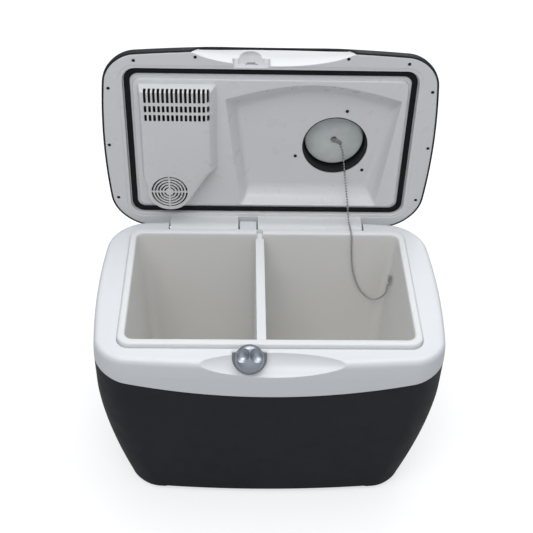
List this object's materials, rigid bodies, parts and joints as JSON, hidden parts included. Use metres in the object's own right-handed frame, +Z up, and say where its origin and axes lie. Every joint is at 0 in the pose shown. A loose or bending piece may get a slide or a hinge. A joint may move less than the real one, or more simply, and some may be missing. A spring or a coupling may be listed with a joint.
{
  "type": "portable thermoelectric cooler",
  "caption": "Portable cool box with a hinged lid that holds the cooling unit, a bottle hatch with a plug on a chain, a lift-out divider and a turn latch.",
  "frame": {"origin": "on the floor, below the middle of the open cooler's bounding box", "axes": "+Z up, +X to the right seen from the front, -Y towards the front"},
  "size_m": [0.604, 0.4671, 0.6976],
  "materials": {
    "charcoal": "fine-grained moulded charcoal plastic, low sheen",
    "white": "smooth moulded white plastic, satin",
    "liner": "warm white moulded liner, satin",
    "panel": "light grey-white moulded plastic, glossy",
    "foam": "rigid insulating foam",
    "rubber": "black rubber",
    "dark": "dark moulded plastic",
    "chrome": "chrome-plated knob",
    "satin_metal": "satin metal-look plate",
    "steel": "plain steel",
    "aluminium": "extruded aluminium",
    "module": "white ceramic faces",
    "board": "green circuit board",
    "plug": "light grey moulded plug, dull"
  },
  "bodies": {
    "tub": {"outer_shell": "charcoal", "collar_frame": "white", "inner_liner": "liner", "body_insulation": "foam", "hinge_rod": "steel", "latch_plate": "satin_metal", "chain_hook": "steel", "hook_screw": "steel", "chain_lower": "steel", "foot_pad_left_front": "rubber", "foot_pad_left_rear": "rubber", "foot_pad_right_front": "rubber", "foot_pad_right_rear": "rubber"},
    "divider": {"divider": "white"},
    "latch": {"latch_knob": "chrome", "latch_cam": "steel", "cam_screw": "steel"},
    "lid": {"lid_panel": "panel", "lid_shell": "charcoal", "lid_insulation": "foam", "lid_seal": "rubber", "strike_plate": "steel", "hatch_tube": "dark", "fan_cover": "panel", "cold_heatsink": "aluminium", "spacer_block": "aluminium", "peltier_module": "module", "hot_heatsink": "aluminium", "cold_fan_frame": "dark", "hot_fan_frame": "dark", "outer_vent_grille": "dark", "control_board": "board", "power_socket": "dark", "chain_upper": "steel", "lid_screw_1": "steel", "lid_screw_2": "steel", "lid_screw_3": "steel", "lid_screw_4": "steel", "lid_screw_5": "steel", "lid_screw_6": "steel", "lid_screw_7": "steel", "lid_screw_8": "steel", "lid_screw_9": "steel", "lid_screw_10": "steel", "hatch_screw_1": "steel", "hatch_screw_2": "steel", "hatch_screw_3": "steel"},
    "plug": {"plug_cap": "charcoal", "plug_core": "plug", "plug_seal": "rubber", "plug_screw": "steel", "chain_eye": "steel"},
    "cold_rotor": {"cold_fan_rotor": "dark"},
    "hot_rotor": {"hot_fan_rotor": "dark"},
    "rocker": {"rocker_switch": "dark"}
  },
  "joints": [
    {"name": "lid_hinge", "type": "hinge", "parent": "tub", "child": "lid", "pos_m": [0, 0.1355, 0.336], "axis": [-1, 0, 0], "range_deg": [-92, 0], "deforming": ["chain_upper", "chain_lower"]},
    {"name": "latch_turn", "type": "hinge", "parent": "tub", "child": "latch", "pos_m": [-0.035, -0.2138, 0.3548], "axis": [0, 0.8829, -0.4695], "range_deg": [-90, 0]},
    {"name": "divider_lift", "type": "slide", "parent": "tub", "child": "divider", "axis": [0, 0, 1], "range_m": [0, 0.31]},
    {"name": "plug_lift", "type": "slide", "parent": "lid", "child": "plug", "axis": [0, 0.9994, -0.0349], "range_m": [0, 0.045], "deforming": ["chain_upper"]},
    {"name": "cold_fan_spin", "type": "hinge", "parent": "lid", "child": "cold_rotor", "pos_m": [-0.181, 0.1427, 0.42751], "axis": [0, 0.9994, -0.0349], "continuous": true},
    {"name": "hot_fan_spin", "type": "hinge", "parent": "lid", "child": "hot_rotor", "pos_m": [-0.165, 0.20664, 0.53934], "axis": [0, 0.9994, -0.0349], "continuous": true},
    {"name": "rocker_tilt", "type": "hinge", "parent": "lid", "child": "rocker", "pos_m": [-0.2525, 0.20255, 0.52247], "axis": [1, 0, 0], "range_deg": [0, 16]}
  ]
}
